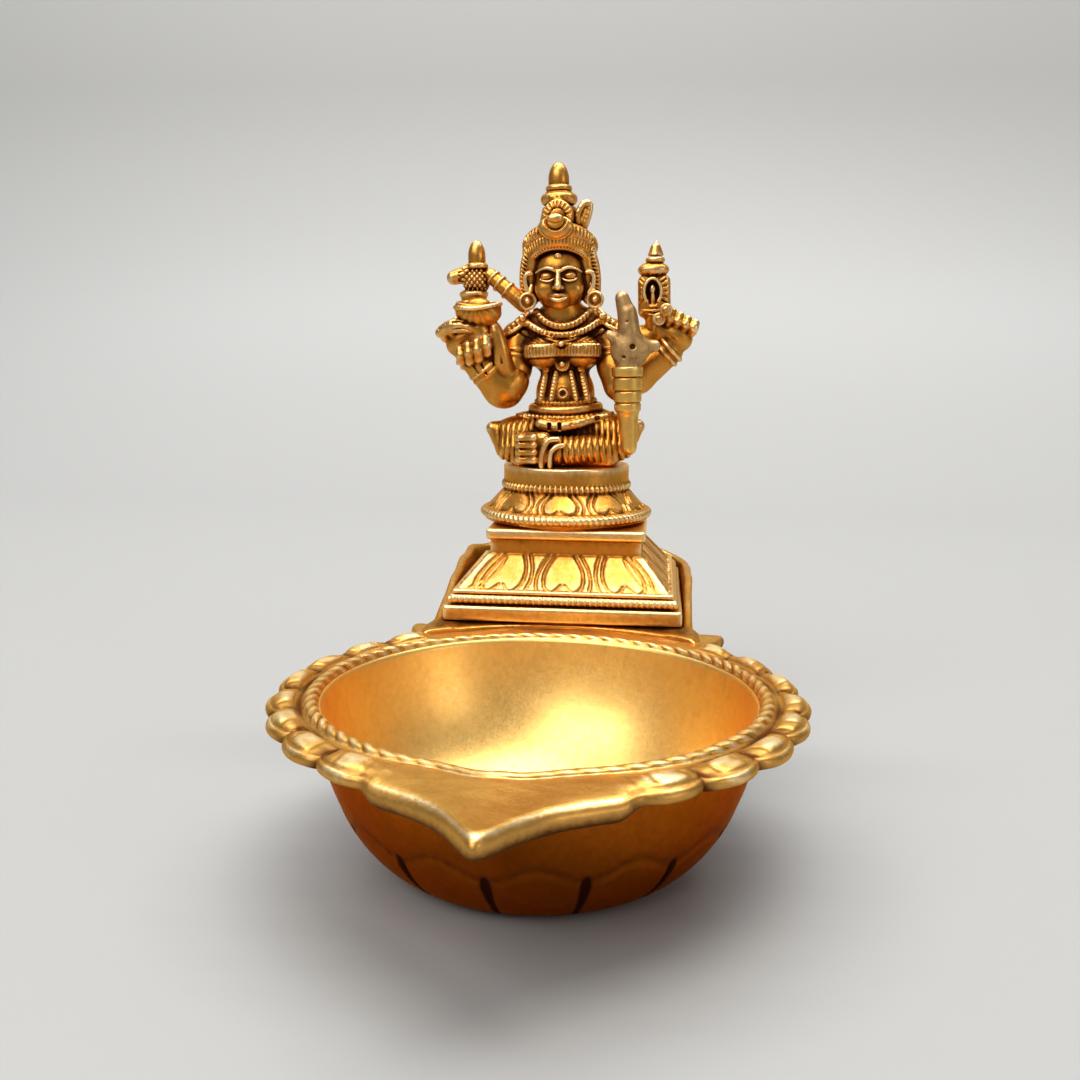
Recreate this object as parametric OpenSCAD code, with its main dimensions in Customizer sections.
// Brass oil lamp: a pouring bowl with a pedestal and a seated four-armed figure at its rear.
// +Z is up, the spout points to -Y, and the origin is the centre of the bowl's foot.
// The figure's own right hand is on -X and its left hand on +X.

/* [Bowl] */
// Radius over the rim's scallops
rim_r = 40; // [34:1:46]
// Radius of the mouth
mouth_r = 32.7; // [28:0.1:33]
// Height of the rim's flat top, where the pedestal stands
deck_z = 26.3; // [25:0.1:32]
// Radius of the flat foot
foot_r = 16.4; // [14:0.1:18]
// Thickness of the cast wall
wall_t = 2.4; // [2:0.1:3]
// Thickness of the rim and the tongue
rim_t = 3.2; // [3:0.1:4]
// How far the spout's tip stands out past the scallops
spout_reach = 14.5; // [8:0.5:18]
// Turn of the spout away from the front, towards the figure's right hand, in degrees
spout_turn = 1.3; // [0:0.1:3]
// Scallops in a full turn of the rim
scallops = 24; // [18:2:30]
// Depth of the notches between scallops
notch_d = 1.7; // [0.5:0.1:2]

/* [Tongue] */
// Width of the tongue behind the bowl
tongue_w = 48; // [48:0.5:52]
// Distance from the bowl's axis to the pedestal's axis
pedestal_y = 59.7; // [57:0.1:60]
// Distance from the bowl's axis to the tongue's rear end
tongue_y = 92; // [92:1:96]
// Height of the turned-up edge at the tongue's rear
curl_h = 6.5; // [3:0.5:11]

/* [Pedestal] */
// Width of the square base slab
slab_w = 44; // [40:1:44]
// Height of the square plinth
plinth_h = 16.6; // [15:0.2:19]
// Largest radius of the round lotus seat
lotus_r = 16.8; // [15:0.1:18]
// Height of the lotus seat
seat_h = 11.1; // [10:0.1:13]
// How far the seat sits off the plinth's axis, towards the figure's right hand
seat_off = 1.1; // [0:0.1:1.5]

/* [Figure] */
// Height of the figure from its seat to the tip of its crown
figure_h = 57; // [52:1:62]
// Lean of the figure towards its right hand, in degrees
figure_lean = 1.7; // [0:0.1:3]

/* [Fixings] */
// Radius of the fixing bolt's shank
bolt_r = 2; // [1.5:0.5:2.5]
// Radius of the rear foot where it stands
rear_foot_r = 8; // [7:0.5:9]

/* [Hidden] */
brass = [0.80, 0.58, 0.22];
tan_brass = [0.66, 0.54, 0.33];
steel = "silver";
belly_r = mouth_r + 0.6;      // outside of the wall under the rim
belly_z = deck_z - rim_t;     // where the wall meets the rim
floor_t = 2.6;                // thickness of the bowl's floor
spout_half = 22.5;            // half the angle that the smooth lip takes, in degrees
lip_fall = 6.5;               // angle over which the lip falls back from its tip
flare = 2.2;                  // how much wider the rim is at the front than at the back
flare_fall = 48;              // angle over which it narrows
head_h = 2.6;                 // height of the bolt's head
head_r = 1.8 * bolt_r;
recess_h = 5;                 // depth of the recess under the rear foot
washer_t = 1;
curl_t = 1.6;                 // thickness of the tongue's turned-up edge
curl_run = 44;                // it reaches its full height this far behind the plinth's front
tongue_corner_r = 12;         // radius of the tongue's rear corners
boss_r = 5;                   // radius of the threaded boss in the plinth
thread_l = 9;                 // length of thread in the boss
gap = 0.1;                    // clearance round the bolt and the spigots
seat_z = deck_z + plinth_h;   // underside of the lotus seat
figure_z = seat_z + seat_h;   // top of the seat, where the figure sits
spigot_r = 4;
spigot_h = 3;
u = figure_h / 100;           // the figure's proportions are in hundredths of its height
$fn = 48;

// ---- bowl ----

// Outside radius of the rim at angle a from the spout
function rim_base(a) = rim_r + flare * exp(-pow(a / flare_fall, 2));
function lip_r(a) = rim_base(a) + (spout_reach - flare) * exp(-abs(a) / lip_fall);
function lobe_r(a) = rim_base(a) - notch_d * (1 - pow(abs(cos(a * scallops / 2)), 0.5));
function edge_r(a) = abs(a) < spout_half ? lip_r(a) : lobe_r(a);

// Quarter ellipse from the flat foot of radius r0 up to radius r1
function bowl_curve(r0, r1, z0, z1) =
    [for (a = [0:9:90]) [r0 + (r1 - r0) * sin(a), z0 + (z1 - z0) * (1 - cos(a))]];

module bowl_wall() {
    rotate_extrude($fn = 96)
        polygon(concat([[0, 0]], bowl_curve(foot_r, belly_r, 0, belly_z),
            [[belly_r, deck_z - 1], [0, deck_z - 1]]));
}

module bowl_hollow() {
    rotate_extrude($fn = 96)
        polygon(concat([[0, floor_t]],
            bowl_curve(foot_r - wall_t / 2, belly_r - 2, floor_t, belly_z),
            [[mouth_r, deck_z], [mouth_r, deck_z + 5], [0, deck_z + 5]]));
}

module rim_plate() {
    translate([0, 0, deck_z - rim_t])
        rotate([0, 0, -spout_turn])
            linear_extrude(rim_t)
                polygon([for (a = [-180:2:178]) edge_r(a) * [sin(a), -cos(a)]]);
}

module spout_keel() {
    tip = rim_r + spout_reach - 2;
    rotate([0, 0, -spout_turn]) hull() {
        translate([0, -tip, deck_z - 4.5]) cylinder(h = 4.5, r = 1.5, $fn = 32);
        translate([0, -belly_r + 4, deck_z - 8]) cylinder(h = 7, r = 11, $fn = 32);
        translate([0, -belly_r + 8, deck_z - 18]) cylinder(h = 10, r = 6, $fn = 32);
    }
}

module spout_channel() {
    rotate([0, 0, -spout_turn]) hull() {
        translate([0, -mouth_r + 6, deck_z - 3]) cylinder(h = 8, r = 9, $fn = 32);
        translate([0, -mouth_r - 11, deck_z - 0.8]) cylinder(h = 8, r = 1.2, $fn = 32);
    }
}

// Outline of the tongue: straight sides from under the rim, and rounded corners at its rear
module tongue_outline(inset) {
    half = tongue_w / 2 - inset;
    r = tongue_corner_r - inset;
    hull() {
        translate([-half, mouth_r - 6]) square([2 * half, 1]);
        for (side = [-1, 1])
            translate([side * (half - r), tongue_y - inset - r]) circle(r = r);
    }
}

// The turned-up edge rises steadily beside the plinth and stands highest behind it
module tongue() {
    front = pedestal_y - slab_w / 2;
    translate([0, 0, deck_z - rim_t]) linear_extrude(rim_t) tongue_outline(0);
    intersection() {
        translate([0, 0, deck_z - 1]) linear_extrude(curl_h + 1)
            difference() {
                tongue_outline(0);
                tongue_outline(curl_t);
            }
        rotate([90, 0, 90])
            translate([0, 0, -tongue_w / 2 - 1]) linear_extrude(tongue_w + 2)
                polygon([[front, deck_z - 1], for (y = [front:4:tongue_y + 4])
                    [y, deck_z + curl_h * sin(min(90, 90 * (y - front) / curl_run))],
                    [tongue_y + 4, deck_z - 1]]);
    }
}

module bowl() {
    color(brass)
        difference() {
            union() {
                bowl_wall();
                rim_plate();
                spout_keel();
                tongue();
            }
            bowl_hollow();
            spout_channel();
            translate([0, pedestal_y, deck_z - rim_t - 1]) cylinder(h = rim_t + 2, r = bolt_r + gap);
        }
}

// ---- rear foot and its fixings ----

module rear_foot() {
    top = deck_z - rim_t;
    color(brass)
        translate([0, pedestal_y, 0])
            difference() {
                rotate_extrude($fn = 64)
                    polygon([[0, 0], [rear_foot_r, 0], [rear_foot_r, 2], [rear_foot_r - 2.5, 6],
                        [rear_foot_r - 3, top / 2], [rear_foot_r - 2.5, top - 5],
                        [rear_foot_r + 1, top - 2], [rear_foot_r + 1, top], [0, top]]);
                translate([0, 0, -1]) cylinder(h = recess_h + 1, r = head_r + 0.7);
                cylinder(h = top + 1, r = bolt_r + gap);
            }
}

module fixing_bolt() {
    head_z = recess_h - washer_t - head_h;
    color(steel)
        translate([0, pedestal_y, head_z])
            difference() {
                union() {
                    cylinder(h = head_h, r = head_r);
                    cylinder(h = deck_z + thread_l - head_z, r = bolt_r);
                }
                translate([-head_r - 1, -0.4, -1]) cube([2 * head_r + 2, 0.8, 1 + head_h / 2]);
            }
}

module spring_washer() {
    color(steel)
        translate([0, pedestal_y, recess_h - washer_t])
            difference() {
                cylinder(h = washer_t, r = head_r);
                translate([0, 0, -1]) cylinder(h = washer_t + 2, r = bolt_r + gap);
                translate([bolt_r, -0.3, -1]) cube([head_r, 0.6, washer_t + 2]);
            }
}

// ---- pedestal ----

module square_tier(half, z0, z1) {
    translate([-half, -half, z0]) cube([2 * half, 2 * half, z1 - z0]);
}

// Four-sided frustum
module square_slope(half0, z0, half1, z1) {
    hull() {
        square_tier(half0, z0, z0 + 0.01);
        square_tier(half1, z1 - 0.01, z1);
    }
}

function petal_outline(w, h) =
    [for (a = [0:20:340]) [w / 2 * sin(a) * (1 + 0.25 * cos(a)), h / 2 * (1 - cos(a))]];

// One flat petal, its root at the origin, rising along +Z and facing -Y
module petal(w, h, t) {
    rotate([90, 0, 0])
        linear_extrude(t)
            polygon(petal_outline(w, h));
}

module plinth_petals(half0, z0, half1, z1) {
    lean = atan2(half0 - half1, z1 - z0);
    count = 3;
    pitch = 2 * half1 / count;
    for (side = [0:90:270], i = [0:count - 1])
        rotate([0, 0, side])
            translate([(i - (count - 1) / 2) * pitch * 1.1, -half0 + 0.6, z0 + 0.6])
                rotate([-lean, 0, 0])
                    petal(pitch * 0.9, norm([half0 - half1, z1 - z0]) - 1.2, 0.9);
}

module plinth() {
    slab = slab_w / 2;
    neck = slab * 0.645;
    color(brass)
        translate([0, pedestal_y, deck_z]) {
            difference() {
                union() {
                    square_tier(slab, 0, 3);
                    square_tier(slab - 1.1, 3, 5.7);
                    square_slope(slab - 2.2, 5.7, neck, 11.5);
                    square_tier(neck, 11, plinth_h - 1.8);
                    square_tier(neck + 0.7, plinth_h - 1.8, plinth_h);
                    plinth_petals(slab - 2.2, 5.7, neck, 11.5);
                    cylinder(h = plinth_h + spigot_h, r = spigot_r);
                }
                difference() {
                    union() {
                        square_slope(slab - 3, -0.5, neck, 7);
                        square_tier(neck - 2.4, 6, plinth_h - 3);
                    }
                    cylinder(h = plinth_h, r = boss_r);
                }
                translate([0, 0, -1]) cylinder(h = thread_l + 2, r = bolt_r + gap / 2);
            }
        }
}

module lotus_petals() {
    count = 14;
    for (i = [0:count - 1])
        rotate([0, 0, (i + 0.5) * 360 / count])
            translate([0, -lotus_r + 0.9, 2.6])
                rotate([-44, 0, 0])
                    petal(5.6, 5.2, 1);
}

module lotus_seat() {
    drum_r = lotus_r * 0.735;
    color(brass)
        translate([-seat_off, pedestal_y, seat_z])
            difference() {
                union() {
                    rotate_extrude($fn = 96)
                        polygon([[0, 0], [lotus_r - 2, 0], [lotus_r - 0.4, 0.6], [lotus_r, 1.6],
                            [lotus_r - 0.4, 2.7], [drum_r + 0.3, 6.2], [drum_r + 0.3, 6.5],
                            [drum_r + 0.9, 7], [drum_r + 0.9, 8], [drum_r, 8.4],
                            [drum_r, seat_h], [0, seat_h]]);
                    lotus_petals();
                }
                translate([seat_off, 0, -1]) cylinder(h = spigot_h + 1.5, r = spigot_r + gap);
                translate([0, 0, seat_h - spigot_h - 0.5]) cylinder(h = spigot_h + 1, r = spigot_r + gap);
            }
}

// ---- figure ----
// Points are [x, y, z] in hundredths of the figure's height, from the middle of the seat's top;
// -Y is forwards.

module at_seat() {
    translate([-seat_off, pedestal_y, figure_z])
        rotate([0, -figure_lean, 0])
            scale(u) children();
}

module ball(p, r) {
    translate(p) sphere(r = r, $fn = 20);
}

// Limb from point p to point q, of radius rp at one end and rq at the other
module limb(p, rp, q, rq) {
    hull() {
        ball(p, rp);
        ball(q, rq);
    }
}

// Slice of the trunk: a disc w wide and d deep at height z
module slice(z, w, d) {
    translate([0, 0, z]) scale([w / 2, d / 2, 1]) cylinder(h = 0.5, r = 1, $fn = 32);
}

// Widths and depths of the trunk from the hips to the shoulders
trunk = [[10, 25, 17], [20, 23, 15], [29, 18, 12], [38, 26, 17], [45, 28, 13], [48, 12, 9]];
neck_top = 53;
elbow_z = 21;
crown_z = 70;

module trunk_shape() {
    for (i = [0:len(trunk) - 2])
        hull() {
            slice(trunk[i][0], trunk[i][1], trunk[i][2]);
            slice(trunk[i + 1][0], trunk[i + 1][1], trunk[i + 1][2]);
        }
    translate([0, 0, 46]) cylinder(h = neck_top - 46, r = 4.6, $fn = 32);
}

module upper_arms() {
    for (side = [-1, 1]) limb([side * 15.5, -2, 42.5], 5, [side * 20, -5, elbow_z], 4.2);
}

module legs_shape() {
    for (side = [-1, 1]) {
        limb([side * 7, 2, 8], 8, [side * 23, -3, 8.5], 5.5);
        limb([side * 22, -5, 7], 5, [side * -4, -14, 6], 4);
    }
}

// The figure leans, so its base is cut level with the seat; its spigot stays upright
module figure_body() {
    color(brass) {
        difference() {
            at_seat() {
                trunk_shape();
                upper_arms();
                legs_shape();
                translate([0, 0, -2]) cylinder(h = 13, r = 12, $fn = 32);
            }
            translate([-slab_w, pedestal_y - slab_w, figure_z - 5]) cube([2 * slab_w, 2 * slab_w, 5]);
        }
        translate([-seat_off, pedestal_y, figure_z - spigot_h]) cylinder(h = spigot_h + 1, r = spigot_r);
    }
}

module head() {
    color(brass)
        at_seat()
            difference() {
                union() {
                    translate([0, 0, 63]) scale([9.6, 9.2, 11]) sphere(r = 1, $fn = 28);
                    for (side = [-1, 1]) limb([side * 9, 2, 66], 2, [side * 9.6, 2, 57], 2);
                }
                translate([0, 0, 40]) cylinder(h = neck_top - 40, r = 6, $fn = 32);
                translate([0, 0, crown_z]) cylinder(h = 10, r = 12, $fn = 32);
            }
}

module crown() {
    color(brass)
        at_seat()
            rotate_extrude($fn = 48)
                polygon([[0, crown_z], [9.8, crown_z], [11.4, crown_z + 1.5], [11.6, 77], [10, 79],
                    [8.4, 81], [6, 82.5], [6.6, 85], [6.4, 88], [4.6, 90], [5, 91.4], [3.6, 93],
                    [3.6, 94.4], [2.6, 97], [1, 99.6], [0, 100]]);
}

module earrings() {
    color(brass)
        at_seat()
            for (side = [-1, 1])
                translate([side * 11.5, 0, 52.2]) rotate([90, 0, 0]) cylinder(h = 2.4, r = 3, center = true);
}

// Rear arm: out and back from the shoulder, then up to a hand beside the head
module rear_arm(side) {
    root = [side * 13, 7, 41];
    elbow = [side * 30, 8, 29];
    wrist = [side * 37, 6, 43];
    limb(root, 4.6, elbow, 4.2);
    limb(elbow, 4.2, wrist, 3.4);
    limb(wrist, 3.4, [side * 33, 5, 50], 4.2);
    limb([side * 34, 4, 48], 3, [side * 43.5, 3, 48], 1.8);
}

module rear_arm_right() {
    color(brass) at_seat() rear_arm(-1);
}

module rear_arm_left() {
    color(brass) at_seat() rear_arm(1);
}

module emblem_right() {
    color(brass)
        at_seat()
            translate([-31, 4, 53.6])
                rotate_extrude($fn = 32)
                    polygon([[0, 0], [3.4, 0], [5, 4], [5, 11], [3.6, 13.5], [3.6, 15.6],
                        [2.6, 18.8], [1, 21.8], [0, 22.2]]);
}

module emblem_left() {
    color(brass)
        at_seat()
            translate([30.5, 4, 53.6]) {
                translate([0, 0, 6.5]) rotate([90, 0, 0]) cylinder(h = 5, r = 5.8, center = true);
                rotate_extrude($fn = 32)
                    polygon([[0, 0], [2.4, 0], [2.4, 11], [3.2, 13.6], [3, 15.6],
                        [2.2, 17.8], [1, 20.2], [0, 20.6]]);
            }
}

// Right forearm: up and forwards from the elbow, with the hand held under the dish
module forearm_right() {
    wrist = [-30, -12, 33];
    color(brass)
        at_seat()
            difference() {
                union() {
                    limb([-22, -6, 22.5], 4.2, wrist, 3.8);
                    limb(wrist, 3.8, [-29, -12, 41.5], 4.4);
                }
                ball([-20, -5, elbow_z], 4.2);
            }
}

module offering_dish() {
    color(brass)
        at_seat()
            translate([-29, -12, 46])
                rotate_extrude($fn = 48)
                    polygon([[0, 0], [3, 0], [6.6, 1.6], [8.6, 4.4], [7.6, 4.8], [5.4, 3.4], [0, 2.6]]);
}

// Left forearm: a banded wrist and an open raised hand; a tapering stem steadies it on the knee
module forearm_left() {
    x = 22;
    y = -12;
    color(tan_brass)
        at_seat() {
            translate([x, y, 18]) cylinder(h = 15, r = 5, $fn = 32);
            translate([x, y, 9]) cylinder(h = 9, r = 3.2, $fn = 32);
            limb([x, y, 33], 4.6, [x + 1, y, 40], 5.4);
            limb([x - 1, y, 44], 2.4, [x - 1.5, y, 56], 1.8);
        }
}

bowl();
rear_foot();
fixing_bolt();
spring_washer();
plinth();
lotus_seat();
figure_body();
head();
crown();
earrings();
rear_arm_right();
rear_arm_left();
emblem_right();
emblem_left();
forearm_right();
forearm_left();
offering_dish();
